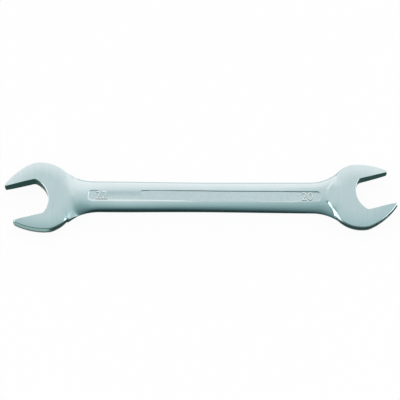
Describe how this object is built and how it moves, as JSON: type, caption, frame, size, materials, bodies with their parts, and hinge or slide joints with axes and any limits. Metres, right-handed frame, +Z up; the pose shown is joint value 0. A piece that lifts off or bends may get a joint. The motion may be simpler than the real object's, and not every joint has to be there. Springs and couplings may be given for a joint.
{
  "type": "open end wrench",
  "caption": "Flat forged steel spanner with an open jaw at each end, set at a slant to an oval, panelled shank.",
  "frame": {"origin": "middle of the bounding box's underside, on the surface that the wrench lies on", "axes": "+X along the shank from the larger jaw to the smaller one, +Y across it on the side that the smaller jaw slants towards, +Z up out of the upper face"},
  "size_m": [0.2342, 0.0434, 0.0086],
  "materials": {
    "satin_chrome": "satin chrome plate over a drop forging, ground flat on the head faces"
  },
  "bodies": {
    "root": {"wrench": "satin_chrome"}
  },
  "joints": []
}
